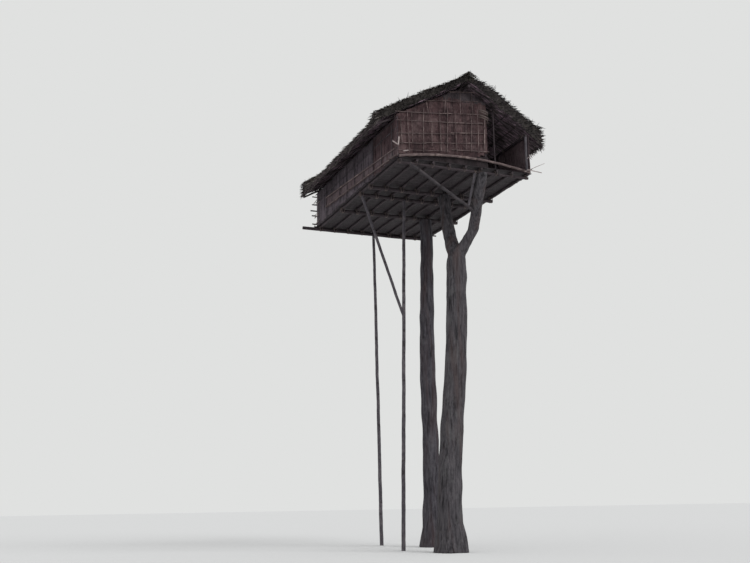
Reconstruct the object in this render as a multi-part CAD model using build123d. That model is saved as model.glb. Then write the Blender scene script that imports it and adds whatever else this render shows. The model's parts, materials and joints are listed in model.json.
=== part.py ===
from build123d import *
import os
from math import cos, radians, sin

# Tree house: a gabled hut of poles, bark and leaf thatch, carried high above
# the ground on a forked trunk, a second trunk and two long posts.
# Millimetres. +Z is up, the ground is z = 0, the front wall faces -Y, and the
# origin lies on the ground under the middle of the floor.

# Floor
floor_width = 5000
floor_length = 8400
floor_height = 12600
deck_thickness = 25
joist_radius = 45
joist_count = 9
joist_inset = 110
bearer_radius = 65
front_bearer_radius = 45

# Walls
side_wall_thickness = 30
end_wall_thickness = 30
post_radius = 50
plate_radius = 45
stud_radius = 35
stud_count = 3
front_opening_width = 1650
front_wall_left_gap = 100
front_wall_right_gap = 330
front_rail_radius = 45
front_rail_bow = 240
opening_pole_radius = 25
opening_pole_inset = 1330

# Roof
roof_pitch = radians(28.2)
ridge_pole_height = 2680
ridge_pole_radius = 50
ridge_pole_inset = 60
rafter_radius = 35
rafter_pairs = 7
rafter_end_inset = 250
rafter_tail_inset = 60
batten_radius = 20
batten_count = 7
batten_inset = 90
thatch_thickness = 130
verge_width = 600
verge_thickness = 170
eave_overhang = 720
ridge_overhang = 500
eave_set_back = 170
cap_thickness = 60
cap_reach = 340

# Gap between a piece and what it is seated on
seat = 0.3

# Places of the bearers, from front to back
front_bearer_inset = 120
limb_bearer_y = -1500
middle_bearer_y = -600
rear_bearer_y = 1400
back_bearer_inset = 200
bearer_end_inset = 40
back_bearer_left_overhang = 660

# Forked tree: the trunk up to its fork, then a front limb and a middle limb
trunk_foot_x = -250
trunk_foot_radius = 600
trunk_flare_height = 900
trunk_low_radius = 400
trunk_top_radius = 340
fork_x = 350
fork_y = -2600
fork_drop = 2800
limb_bend_drop = 1900
middle_limb_low_radius = 300
middle_limb_bend_x = 390
middle_limb_bend_y = -2080
middle_limb_bend_radius = 220
middle_limb_top_radius = 210
middle_limb_top_x = 460
front_limb_low_radius = 280
front_limb_bend_x = 790
front_limb_bend_y = -3120
front_limb_bend_radius = 195
front_limb_top_radius = 175
front_limb_top_x = 680

# Rear trunk
rear_trunk_foot_x = 960
rear_trunk_foot_radius = 470
rear_trunk_flare_height = 700
rear_trunk_low_radius = 320
rear_trunk_top_x = 1070
rear_trunk_top_radius = 240

# Long posts
middle_post_foot_x = -1030
middle_post_top_x = -700
back_post_foot_x = 60
back_post_top_x = -80
long_post_foot_radius = 70
long_post_top_radius = 55

# Braces
side_brace_radius = 55
side_brace_top_inset = 110
side_brace_foot_drop = 4600
corner_brace_radius = 66
corner_brace_top_inset = 450
corner_brace_foot_drop = 1380
front_strut_radius = 42
front_strut_x = 400

# Levels, from the deck down to the bearers
deck_bottom = floor_height - deck_thickness
joist_level = deck_bottom - seat - joist_radius
bearer_top = joist_level - joist_radius - seat
bearer_level = bearer_top - bearer_radius
front_bearer_level = bearer_top - front_bearer_radius
post_foot = floor_height + seat

# Places of the walls, posts and bearers
half_width = floor_width / 2
half_length = floor_length / 2
front_bearer_y = front_bearer_inset - half_length
back_bearer_y = half_length - back_bearer_inset
end_wall_inside = half_length - end_wall_thickness
side_wall_inside = half_width - side_wall_thickness
post_x = side_wall_inside - seat - post_radius
post_y = end_wall_inside - seat - post_radius
front_panel_edge = half_width - front_opening_width

# Distances out from the ridge pole's axis, square to the roof slope
rafter_under_out = ridge_pole_radius + seat
rafter_out = rafter_under_out + rafter_radius
rafter_top_out = rafter_out + rafter_radius
batten_out = rafter_top_out + seat + batten_radius
thatch_out = batten_out + batten_radius + seat
thatch_top_out = thatch_out + thatch_thickness
verge_top_out = thatch_top_out + verge_thickness
cap_out = thatch_top_out + seat
plate_out = rafter_under_out - seat - plate_radius

ridge_level = floor_height + ridge_pole_height
eave_x = half_width + eave_overhang
roof_half_length = half_length + ridge_overhang
eave_half_length = half_length - eave_set_back

# Heights on the forked tree and the braces, all set down from the floor
fork_height = floor_height - fork_drop
limb_bend_height = floor_height - limb_bend_drop
side_brace_foot_height = floor_height - side_brace_foot_drop
corner_brace_foot_height = floor_height - corner_brace_foot_drop


def roof_height(x, out):
    """Height, at x from the middle, of a plane along the roof slope that lies this far out."""
    return ridge_level + (out - abs(x) * sin(roof_pitch)) / cos(roof_pitch)


def roof_end(x):
    """Half the roof's length at x: the roof is shorter at its eaves than at its ridge."""
    return roof_half_length - (roof_half_length - eave_half_length) * abs(x) / eave_x


plate_level = roof_height(post_x, plate_out)
side_wall_top = roof_height(half_width, rafter_under_out) - seat


def spread(low, high, count):
    """Evenly spaced places from low to high, with both ends among them."""
    return [low + (high - low) * i / (count - 1) for i in range(count)]


def pole(start, end, radius):
    """A straight round pole between two points."""
    axis = Vector(end) - Vector(start)
    return Solid.make_cylinder(radius, axis.length, Plane(origin=start, z_dir=axis))


def stem(*stations):
    """A standing stem through (x, y, z, radius) stations, straight between them and cut level at its ends."""
    rings = [Plane(origin=(x, y, z)) * Circle(radius) for x, y, z, radius in stations]
    return loft(rings, ruled=True).solid()


def slab(x_low, x_high, y_low, y_high, z_low, z_high):
    """A rectangular slab between its lowest and highest corners."""
    centre = ((x_low + x_high) / 2, (y_low + y_high) / 2, (z_low + z_high) / 2)
    return (Pos(*centre) * Box(x_high - x_low, y_high - y_low, z_high - z_low)).solid()


def section_along_y(outline, y_low, y_high):
    """A solid from y_low to y_high whose section is the (x, z) outline."""
    face = make_face(Polyline([(x, y_low, z) for x, z in outline], close=True))
    return extrude(face, amount=y_high - y_low, dir=(0, 1, 0)).solid()


def bearer(y, radius=bearer_radius, left=bearer_end_inset - half_width, clearance=0):
    """A round bearer that lies across the hut under the joists."""
    level = bearer_top - radius
    return pole((left, y, level), (half_width - bearer_end_inset, y, level), radius + clearance)


def under_bearer(piece, y, radius=bearer_radius):
    """The piece with its head hollowed to the round of the bearer over it."""
    return (piece - bearer(y, radius, clearance=seat)).solid()


def under_pole(piece, x, level, radius):
    """The piece with its head hollowed to the round of a pole that runs front to back over it."""
    room = pole((x, -floor_length, level), (x, floor_length, level), radius + seat)
    return (piece - room).solid()


def trunk():
    """The forked tree's trunk, with the flare of its foot."""
    bend_x = (trunk_foot_x + fork_x) / 2
    bend_radius = (trunk_low_radius + trunk_top_radius) / 2
    return stem((trunk_foot_x, fork_y, 0, trunk_foot_radius),
                (trunk_foot_x, fork_y, trunk_flare_height, trunk_low_radius),
                (bend_x, fork_y, fork_height / 2, bend_radius),
                (fork_x, fork_y, fork_height, trunk_top_radius))


def limb(low, bend, top, clearance=0):
    """One limb through three (x, y, z, radius) stations: the fork, its bend and the bearer on it."""
    return stem(*[(x, y, z, radius + clearance) for x, y, z, radius in (low, bend, top)])


def front_limb(clearance=0):
    """The whole front limb."""
    return limb((fork_x, fork_y, fork_height + seat, front_limb_low_radius),
                (front_limb_bend_x, front_limb_bend_y, limb_bend_height, front_limb_bend_radius),
                (front_limb_top_x, front_bearer_y, front_bearer_level, front_limb_top_radius), clearance)


def middle_limb():
    """The whole middle limb."""
    return limb((fork_x, fork_y, fork_height + seat, middle_limb_low_radius),
                (middle_limb_bend_x, middle_limb_bend_y, limb_bend_height, middle_limb_bend_radius),
                (middle_limb_top_x, limb_bearer_y, bearer_level, middle_limb_top_radius))


def parted(piece, side):
    """The part of a limb on its own side of the upright plane through the fork."""
    reach = floor_length
    towards = Vector(fork_x - front_limb_bend_x, fork_y - front_limb_bend_y, 0).normalized() * side
    plane = Plane(origin=Vector(fork_x, fork_y, fork_height) + towards * seat / 2, z_dir=towards)
    half = plane * Pos(0, 0, reach / 2) * Box(reach, reach, reach)
    return (piece & half).solid()


def long_post(foot_x, top_x, y, clearance=0):
    """A thin straight post from the ground up to the bearer over it."""
    return stem((foot_x, y, 0, long_post_foot_radius + clearance),
                (top_x, y, bearer_level, long_post_top_radius + clearance))


def side_brace():
    """The brace from the middle post out to the left end of the bearer on it."""
    share = side_brace_foot_height / bearer_level
    foot_x = middle_post_foot_x + (middle_post_top_x - middle_post_foot_x) * share
    piece = pole((side_brace_top_inset - half_width, middle_bearer_y, bearer_level),
                 (foot_x, middle_bearer_y, side_brace_foot_height), side_brace_radius)
    piece = under_bearer(piece, middle_bearer_y)
    post = long_post(middle_post_foot_x, middle_post_top_x, middle_bearer_y, seat)
    return (piece - post).solids().sort_by(Axis.X)[0]


def corner_brace_ends():
    """The corner brace's axis, from under the front bearer to the middle of the front limb."""
    bend = Vector(front_limb_bend_x, front_limb_bend_y, limb_bend_height)
    limb_top = Vector(front_limb_top_x, front_bearer_y, front_bearer_level)
    share = (corner_brace_foot_height - bend.Z) / (limb_top.Z - bend.Z)
    top = Vector(corner_brace_top_inset - half_width, front_bearer_y, front_bearer_level)
    return top, bend + (limb_top - bend) * share


def corner_brace():
    """The brace from the front limb out to the left end of the front bearer."""
    piece = under_bearer(pole(*corner_brace_ends(), corner_brace_radius), front_bearer_y, front_bearer_radius)
    return (piece - front_limb(seat)).solids().sort_by(Axis.X)[0]


def front_strut():
    """The short strut that stands on the corner brace and carries the front bearer."""
    top, foot = corner_brace_ends()
    stand = top + (foot - top) * ((front_strut_x - top.X) / (foot.X - top.X))
    piece = pole((front_strut_x, front_bearer_y, front_bearer_level), stand, front_strut_radius)
    piece = under_bearer(piece, front_bearer_y, front_bearer_radius)
    return (piece - pole(top, foot, corner_brace_radius + seat)).solids().sort_by(Axis.Z)[-1]


def wall_post(x, y, radius, head):
    """An upright that stands on the deck."""
    return pole((x, y, post_foot), (x, y, head), radius)


def plate_post(side, y, radius):
    """An upright on the deck that carries a wall plate."""
    return under_pole(wall_post(side * post_x, y, radius, plate_level), side * post_x, plate_level, plate_radius)


def ridge_post(y):
    """An upright on the deck that carries the ridge pole."""
    return under_pole(wall_post(0, y, post_radius, ridge_level), 0, ridge_level, ridge_pole_radius)


def wall_plate(side):
    """The pole along the head of one side wall."""
    end = end_wall_inside - seat
    return pole((side * post_x, -end, plate_level), (side * post_x, end, plate_level), plate_radius)


def rafter(side, y):
    """A rafter from the ridge pole over the wall plate to the eave."""
    tail = eave_x - rafter_tail_inset
    return pole((0, y, roof_height(0, rafter_out)), (side * tail, y, roof_height(tail, rafter_out)), rafter_radius)


def rafters(side):
    """All the rafters of one slope, each beside its fellow from the other slope."""
    end = half_length - rafter_end_inset
    shift = side * (rafter_radius + seat / 2)
    return [rafter(side, y + shift) for y in spread(-end, end, rafter_pairs)]


def battens(side):
    """The battens of one slope, which lie on the rafters from front to back."""
    level = [(x, roof_height(x, batten_out)) for x in spread(batten_inset, eave_x - batten_inset, batten_count)]
    return [pole((side * x, batten_inset - roof_end(x), z), (side * x, roof_end(x) - batten_inset, z), batten_radius)
            for x, z in level]


def slope_layer(side, out, ends):
    """A layer on one slope, up to this far out, between two plan outlines that run from ridge to eave."""
    section = [(side * seat, roof_height(0, thatch_out)),
               (side * eave_x, roof_height(eave_x, thatch_out)),
               (side * eave_x, roof_height(eave_x, out)),
               (side * seat, roof_height(0, out))]
    slope = section_along_y(section, -roof_half_length, roof_half_length)
    (ridge_low, eave_low), (ridge_high, eave_high) = ends
    plan = [(0, ridge_low), (side * eave_x, eave_low), (side * eave_x, eave_high), (0, ridge_high)]
    area = make_face(Polyline([(x, y, floor_height) for x, y in plan], close=True))
    return (slope & extrude(area, amount=2 * ridge_pole_height, dir=(0, 0, 1))).solid()


def thatch(side):
    """One slope of thatch, thicker along its verges, with its ends running back from the ridge to the eave."""
    verge = (roof_end(0), roof_end(eave_x))
    verge_inside = (verge[0] - verge_width, verge[1] - verge_width)
    front = [tuple(-y for y in verge), tuple(-y for y in verge_inside)]
    layers = [slope_layer(side, thatch_top_out, (front[0], verge)),
              slope_layer(side, verge_top_out, front),
              slope_layer(side, verge_top_out, (verge_inside, verge))]
    return (layers[0] + layers[1] + layers[2]).solid()


def ridge_cap():
    """The folded cap of leaves over the ridge, from verge to verge."""
    outline = [(-cap_reach, roof_height(cap_reach, cap_out)),
               (0, roof_height(0, cap_out)),
               (cap_reach, roof_height(cap_reach, cap_out)),
               (cap_reach, roof_height(cap_reach, cap_out + cap_thickness)),
               (0, roof_height(0, cap_out + cap_thickness)),
               (-cap_reach, roof_height(cap_reach, cap_out + cap_thickness))]
    end = roof_end(cap_reach) - verge_width - seat
    return section_along_y(outline, -end, end)


def front_wall():
    """The front wall panel, whose foot rises from the left corner towards the opening."""
    outline = [(-half_width, floor_height + front_wall_left_gap),
               (front_panel_edge, floor_height + front_wall_right_gap),
               (front_panel_edge, side_wall_top), (-half_width, side_wall_top)]
    return section_along_y(outline, -half_length, -end_wall_inside)


def front_rail():
    """The pole along the foot of the front wall: level with the deck at its ends, and bowed up between."""
    y = -half_length - seat - front_rail_radius
    end = half_width - bearer_end_inset
    path = ThreePointArc((-end, y, floor_height), (0, y, floor_height + front_rail_bow), (end, y, floor_height))
    return sweep(Plane(origin=path @ 0, z_dir=path % 0) * Circle(front_rail_radius), path=path).solid()


def gable(right, y_low, y_high):
    """The panel over an end wall, up to the battens, with a hole for the ridge pole."""
    foot = side_wall_top + seat
    outline = [(-half_width, foot), (right, foot), (right, roof_height(right, rafter_top_out)),
               (0, roof_height(0, rafter_top_out)), (-half_width, roof_height(half_width, rafter_top_out))]
    return under_pole(section_along_y(outline, y_low, y_high), 0, ridge_level, ridge_pole_radius)


def side_wall(side, front_end):
    """A side wall panel that stands on the deck between the end walls."""
    faces = sorted((side * half_width, side * side_wall_inside))
    return slab(*faces, front_end, end_wall_inside - seat, post_foot, side_wall_top)


rear_trunk = stem((rear_trunk_foot_x, rear_bearer_y, 0, rear_trunk_foot_radius),
                  (rear_trunk_foot_x, rear_bearer_y, rear_trunk_flare_height, rear_trunk_low_radius),
                  (rear_trunk_top_x, rear_bearer_y, bearer_level, rear_trunk_top_radius))
middle_post = long_post(middle_post_foot_x, middle_post_top_x, middle_bearer_y)
back_post = long_post(back_post_foot_x, back_post_top_x, back_bearer_y)
joist_places = spread(joist_inset - half_width, half_width - joist_inset, joist_count)
stud_places = spread(-post_y, post_y, stud_count + 2)[1:-1]
door_post_x = front_panel_edge - post_radius
opening_pole_x = half_width - opening_pole_inset

nodes = {
    "main_trunk": trunk(),
    "front_limb": parted(under_bearer(front_limb(), front_bearer_y, front_bearer_radius), -1),
    "middle_limb": parted(under_bearer(middle_limb(), limb_bearer_y), 1),
    "rear_trunk": under_bearer(rear_trunk, rear_bearer_y),
    "middle_post": under_bearer(middle_post, middle_bearer_y),
    "back_post": under_bearer(back_post, back_bearer_y),
    "side_brace": side_brace(),
    "corner_brace": corner_brace(),
    "front_strut": front_strut(),
    "front_bearer": bearer(front_bearer_y, front_bearer_radius),
    "limb_bearer": bearer(limb_bearer_y),
    "middle_bearer": bearer(middle_bearer_y),
    "rear_bearer": bearer(rear_bearer_y),
    "back_bearer": bearer(back_bearer_y, left=-half_width - back_bearer_left_overhang),
    "floor_joists": Compound([pole((x, -half_length, joist_level), (x, half_length, joist_level), joist_radius)
                              for x in joist_places]),
    "floor_deck": slab(-half_width, half_width, -half_length, half_length, deck_bottom, floor_height),
    "front_left_post": plate_post(-1, -post_y, post_radius),
    "front_right_post": plate_post(1, -post_y, post_radius),
    "back_left_post": plate_post(-1, post_y, post_radius),
    "back_right_post": plate_post(1, post_y, post_radius),
    "left_studs": Compound([plate_post(-1, y, stud_radius) for y in stud_places]),
    "right_studs": Compound([plate_post(1, y, stud_radius) for y in stud_places]),
    "front_ridge_post": ridge_post(-post_y),
    "middle_ridge_post": ridge_post(0),
    "back_ridge_post": ridge_post(post_y),
    "door_post": wall_post(door_post_x, -post_y, post_radius,
                           roof_height(door_post_x + post_radius, rafter_top_out)),
    "opening_pole": wall_post(opening_pole_x, -post_y, opening_pole_radius,
                              roof_height(opening_pole_x + opening_pole_radius, rafter_top_out)),
    "left_wall_plate": wall_plate(-1),
    "right_wall_plate": wall_plate(1),
    "ridge_pole": pole((0, ridge_pole_inset - roof_half_length, ridge_level),
                       (0, roof_half_length - ridge_pole_inset, ridge_level), ridge_pole_radius),
    "left_rafters": Compound(rafters(-1)),
    "right_rafters": Compound(rafters(1)),
    "left_battens": Compound(battens(-1)),
    "right_battens": Compound(battens(1)),
    "left_thatch": thatch(-1),
    "right_thatch": thatch(1),
    "ridge_cap": ridge_cap(),
    "front_wall": front_wall(),
    "front_rail": front_rail(),
    "front_gable": gable(front_panel_edge, -half_length, -end_wall_inside),
    "back_wall": slab(-half_width, half_width, end_wall_inside, half_length, post_foot, side_wall_top),
    "back_gable": gable(half_width, end_wall_inside, half_length),
    "left_wall": side_wall(-1, seat - end_wall_inside),
    "right_wall": side_wall(1, -half_length),
}

os.makedirs("parts", exist_ok=True)
for name, shape in nodes.items():
    export_step(shape, f"parts/{name}.step")
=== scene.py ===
import json
import random
from contextlib import contextmanager
from math import cos, pi, radians, sin

import bpy
import numpy as np
from mathutils import Matrix, Vector, noise
from mathutils.geometry import intersect_line_line

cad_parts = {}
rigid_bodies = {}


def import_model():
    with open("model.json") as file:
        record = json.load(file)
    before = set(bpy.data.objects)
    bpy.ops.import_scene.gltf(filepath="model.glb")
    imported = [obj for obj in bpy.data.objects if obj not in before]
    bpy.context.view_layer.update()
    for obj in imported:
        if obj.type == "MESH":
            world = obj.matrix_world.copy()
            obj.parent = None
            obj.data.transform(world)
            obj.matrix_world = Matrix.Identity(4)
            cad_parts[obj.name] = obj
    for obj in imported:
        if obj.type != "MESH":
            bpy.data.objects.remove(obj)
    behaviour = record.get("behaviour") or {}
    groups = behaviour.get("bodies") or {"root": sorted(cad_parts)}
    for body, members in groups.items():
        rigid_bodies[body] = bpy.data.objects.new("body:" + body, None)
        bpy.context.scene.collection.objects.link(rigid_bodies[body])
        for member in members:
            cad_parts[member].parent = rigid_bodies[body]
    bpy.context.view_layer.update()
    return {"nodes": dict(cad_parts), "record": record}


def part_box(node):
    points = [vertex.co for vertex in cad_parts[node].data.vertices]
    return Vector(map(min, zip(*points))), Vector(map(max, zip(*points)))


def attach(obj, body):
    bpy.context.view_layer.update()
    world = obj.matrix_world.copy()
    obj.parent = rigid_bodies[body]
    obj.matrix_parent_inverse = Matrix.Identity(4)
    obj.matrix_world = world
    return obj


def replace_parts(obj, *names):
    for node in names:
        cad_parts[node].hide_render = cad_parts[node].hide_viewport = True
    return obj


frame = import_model()

# Metres. The front wall faces -Y, and the origin is on the ground under the middle of the floor.
floor_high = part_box("floor_deck")[1]
half_width = floor_high.x
half_length = floor_high.y
floor_level = floor_high.z
front_low, front_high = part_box("front_wall")
wall_top = front_high.z
panel_edge = front_high.x
wall_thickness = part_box("left_wall")[1].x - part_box("left_wall")[0].x
inset = wall_thickness / 2
slat_thickness = 0.02
slat_gap = 0.006

# Walls, from the floor up. The front wall's foot rises towards the opening, and so do its laths.
front_foot = (front_low.z, floor_level + 0.33)
front_foot_lift = 0.24
front_bark_top = floor_level + 2.35
front_lath_levels = (0.2, 0.45, 0.82, 1.22, 1.56)
front_lath_rise = 0.38
bark_thickness = 0.022
lath_off = 0.022
upright_off = 0.048
rail_bow = 0.24
foot_band_start = -2.9
red_bark_length = 2.1

# Roof: a place on a slope is so far down from the ridge, along the ridge, and out from its axis.
# The swells are how much more each verge stands up at four places from ridge to eave, by side and end.
roof_pitch = radians(28.2)
thatch_thickness = 0.13
verge_width = 0.6
verge_ramp = 0.3
verge_thickness = 0.17
verge_swells = {(-1, -1): (-0.09, -0.05, 0.06, 0.0), (-1, 1): (0, 0.15, 0.2, 0.12),
                (1, -1): (-0.11, 0.12, 0.14, 0.2), (1, 1): (0, 0.08, 0.1, 0.06)}
verge_strays = {(-1, -1): 7, (-1, 1): 18, (1, -1): 18, (1, 1): 18}
rafter_top_out = 0.12
cap_out_reach = 0.34
ridge_low, ridge_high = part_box("ridge_pole")
ridge_level = (ridge_low.z + ridge_high.z) / 2
slope_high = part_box("right_thatch")[1]
eave_x = slope_high.x
roof_half_length = slope_high.y
eave_half_length = half_length - 0.17
thatch_top_out = (slope_high.z - ridge_level) * cos(roof_pitch) - verge_thickness
thatch_out = thatch_top_out - thatch_thickness
eave_down = eave_x / cos(roof_pitch)

# Leaves lie in rows, from the eave up.
leaf_gap = 0.044
leaf_thickness = 0.05
leaf_widths = (0.032, 0.062)
stray_widths = (0.012, 0.024)
course_rows = [(eave_down + 0.02 - 0.2 * row, 0.62) for row in range(18)]
lining_rows = [(eave_down + 0.02 - 0.32 * row, 0.5) for row in range(11)]

# Camera
photo_width = 750
focal_pixels = 935.4
camera_place = Vector((-13.995, -30.581, 1.5))
camera_yaw = 0.383
camera_pitch = 0.235
camera_roll = -0.016

black = (0, 0, 0, 1)
white = (1, 1, 1, 1)
draws = random.Random(11)
vary = draws.uniform
bpy.context.scene.tool_settings.mesh_select_mode = (False, True, False)


def slope_point(side, down, y, out):
    """A place so far down one slope of the roof, on the level that lies so far out."""
    return Vector((side * down * cos(roof_pitch), y,
                   ridge_level + out / cos(roof_pitch) - down * sin(roof_pitch)))


def slope_end(down):
    """Half the roof's length at a place down the slope."""
    return roof_half_length - (roof_half_length - eave_half_length) * down * cos(roof_pitch) / eave_x


def bumps(x, y, z):
    """Smooth noise at a place."""
    return noise.noise(Vector((x, y, z)))


def rise(side, down, y):
    """How far the uneven leaves and their rolled verge stand above the level thatch at a place."""
    down = max(0, down)
    share = min(1, max(0, 0.5 + (abs(y) - slope_end(down) + verge_width) / verge_ramp))
    swells = verge_swells[side, 1 if y > 0 else -1]
    swell = float(np.interp(down / eave_down, (0, 0.33, 0.67, 1), swells))
    uneven = 0.03 + 0.08 * bumps(y * 0.7, side * 5, down * 0.6)
    return uneven + (verge_thickness + swell) * share * share * (3 - 2 * share)


def spread(low, high, count):
    """Evenly spaced places from low to high."""
    return [low + (high - low) * i / (count - 1) for i in range(count)]


# Handling of pieces

def choose(*pieces):
    """Selects pieces and nothing else, with the first one active."""
    bpy.ops.object.select_all(action="DESELECT")
    for piece in pieces:
        piece.select_set(True)
    bpy.context.view_layer.objects.active = pieces[0]


@contextmanager
def editing(piece):
    """Edit mode on one piece, with all of it selected."""
    choose(piece)
    bpy.ops.object.mode_set(mode="EDIT")
    bpy.ops.mesh.select_all(action="SELECT")
    yield
    bpy.ops.object.mode_set(mode="OBJECT")


def primitive(kind, **values):
    """A new primitive."""
    bpy.ops.object.select_all(action="DESELECT")
    kind(**values)
    return bpy.context.object


def joined(name, parts):
    """Joins parts in one piece."""
    choose(*parts)
    if len(parts) > 1:
        bpy.ops.object.join()
    parts[0].name = name
    parts[0].data.name = name
    return parts[0]


def worked(piece, kind, **values):
    """Adds a modifier to a piece and applies it."""
    choose(piece)
    modifier = piece.modifiers.new(kind.lower(), kind)
    for name, value in values.items():
        setattr(modifier, name, value)
    bpy.ops.object.modifier_apply(modifier=modifier.name)
    return piece


def shown(name, data):
    """A new object in the scene."""
    piece = bpy.data.objects.new(name, data)
    bpy.context.scene.collection.objects.link(piece)
    return piece


def cad_copy(name, node):
    """A copy of a node's solid."""
    return shown(name, frame["nodes"][node].data.copy())


def numbers(items, name, width=3, kind=np.float32):
    """One value or vector of each vertex, edge or face, as an array."""
    values = np.empty(len(items) * width, kind)
    items.foreach_get(name, values)
    return values.reshape(-1, width)


def coordinates(mesh):
    """The places of a mesh's vertices."""
    return numbers(mesh.vertices, "co")


def store(mesh, name, kind, values):
    """Stores one value or vector for each vertex."""
    field = "vector" if kind == "FLOAT_VECTOR" else "value"
    mesh.attributes.new(name, kind, "POINT").data.foreach_set(field, values)


def mark(piece, tint=None, shift=0.0):
    """Stores each vertex's own place, which the grain follows, and the piece's tint."""
    mesh = piece.data
    grain = coordinates(mesh) + np.array((0, 0, shift), np.float32)
    store(mesh, "grain", "FLOAT_VECTOR", grain.ravel())
    if tint is not None:
        store(mesh, "tint", "FLOAT", np.full(len(mesh.vertices), tint, np.float32))
    return piece


def give(piece, slot, angle, *finishes):
    """Shades a piece smooth over its soft edges, gives it its finishes, and lets it stand. The slot is not
    used.
    """
    choose(piece)
    bpy.ops.object.shade_smooth_by_angle(angle=radians(angle))
    piece.data.materials.clear()
    for finish in finishes:
        piece.data.materials.append(bpy.data.materials[finish])
    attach(piece, "root")
    return piece


# Nodes

def socket(sockets, key):
    """The socket with a name or number among those in use."""
    used = [s for s in sockets if s.enabled]
    return used[key] if isinstance(key, int) else next(s for s in used if s.name == key)


def add(tree, kind, inputs, output=0, **settings):
    """Adds one node, its inputs set or linked to other nodes' outputs, and returns its output."""
    node = tree.nodes.new(kind)
    for name, value in settings.items():
        setattr(node, name, value)
    for key, value in inputs.items():
        end = socket(node.inputs, key)
        if isinstance(value, bpy.types.NodeSocket):
            tree.links.new(value, end)
        else:
            end.default_value = value
    return socket(node.outputs, output)


# Copies of one source piece at many places

def copies_group():
    """Nodes that put a source piece at each point, turned and sized as the point says."""
    tree = bpy.data.node_groups.new("copies", "GeometryNodeTree")
    new_socket = tree.interface.new_socket
    new_socket("Geometry", in_out="INPUT", socket_type="NodeSocketGeometry")
    sources_item = new_socket("Sources", in_out="INPUT", socket_type="NodeSocketCollection")
    new_socket("Geometry", in_out="OUTPUT", socket_type="NodeSocketGeometry")

    def named(name, kind="FLOAT_VECTOR"):
        return add(tree, "GeometryNodeInputNamedAttribute", {"Name": name}, data_type=kind)

    start = tree.nodes.new("NodeGroupInput")
    end = tree.nodes.new("NodeGroupOutput")
    pieces = add(tree, "GeometryNodeCollectionInfo", {
        "Collection": start.outputs["Sources"], "Separate Children": True, "Reset Children": True})
    turn = add(tree, "FunctionNodeEulerToRotation", {"Euler": named("turn")})
    put = add(tree, "GeometryNodeInstanceOnPoints", {
        "Points": start.outputs["Geometry"], "Instance": pieces, "Pick Instance": True,
        "Instance Index": named("pick", "INT"), "Rotation": turn, "Scale": named("size")})
    real = add(tree, "GeometryNodeRealizeInstances", {"Geometry": put})
    scaled = add(tree, "ShaderNodeVectorMath", {0: named("grain"), 1: named("size")}, operation="MULTIPLY")
    grained = add(tree, "GeometryNodeStoreNamedAttribute",
                  {"Geometry": real, "Name": "grain", "Value": scaled}, data_type="FLOAT_VECTOR")
    tree.links.new(grained, end.inputs["Geometry"])
    return tree, sources_item.identifier


copies_nodes, sources_socket = copies_group()
sources_made = []


def sources(name, pieces):
    """Keeps source pieces together, in order."""
    group = bpy.data.collections.new(name)
    bpy.context.scene.collection.children.link(group)
    for number, piece in enumerate(pieces):
        piece.name = f"{name}_{number}"
        for owner in list(piece.users_collection):
            owner.objects.unlink(piece)
        group.objects.link(piece)
        mark(piece)
        sources_made.append(piece)
    return group


def copies(name, group, places):
    """One piece with a source piece at each (point, turn as a matrix, size) place."""
    mesh = bpy.data.meshes.new(name)
    mesh.from_pydata([point for point, turn, size in places], [], [])
    store(mesh, "turn", "FLOAT_VECTOR", [v for point, turn, size in places for v in turn.to_euler()])
    store(mesh, "size", "FLOAT_VECTOR", [v for point, turn, size in places for v in size])
    store(mesh, "pick", "INT", [draws.randrange(len(group.objects)) for _ in places])
    store(mesh, "tint", "FLOAT", [draws.random() for _ in places])
    piece = shown(name, mesh)
    modifier = piece.modifiers.new("copies", "NODES")
    modifier.node_group = copies_nodes
    modifier[sources_socket] = group
    choose(piece)
    bpy.ops.object.modifier_apply(modifier=modifier.name)
    for used in ("turn", "size", "pick"):
        if used in piece.data.attributes:
            piece.data.attributes.remove(piece.data.attributes[used])
    return piece


def drawn_out(sides, stations):
    """A closed form along Y, extruded from ring to ring through (y, width, depth) stations."""
    (y, width, depth), *others = stations
    piece = primitive(bpy.ops.mesh.primitive_circle_add, vertices=sides, radius=0.5, fill_type="NGON")
    flat = Matrix.Diagonal((width, depth, 1, 1))
    piece.data.transform(Matrix.Translation((0, y, 0)) @ Matrix.Rotation(pi / 2, 4, "X") @ flat)
    with editing(piece):
        for next_y, next_width, next_depth in others:
            bpy.ops.mesh.extrude_region_move(TRANSFORM_OT_translate={"value": (0, next_y - y, 0)})
            ratio = (next_width / width, 1, next_depth / depth)
            bpy.ops.transform.resize(value=ratio, center_override=(0, next_y, 0))
            y, width, depth = next_y, next_width, next_depth
        bpy.ops.mesh.select_all(action="SELECT")
        bpy.ops.mesh.normals_make_consistent(inside=False)
    return piece


# Finishes

def linear(colour):
    """A shader colour from the red, green and blue, up to 255, that a screen shows."""
    parts = [v / 255 for v in colour]
    return (*[v / 12.92 if v < 0.04 else ((v + 0.055) / 1.055) ** 2.4 for v in parts], 1)


def grey(level):
    """A plain grey."""
    return (level, level, level, 1)


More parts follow.
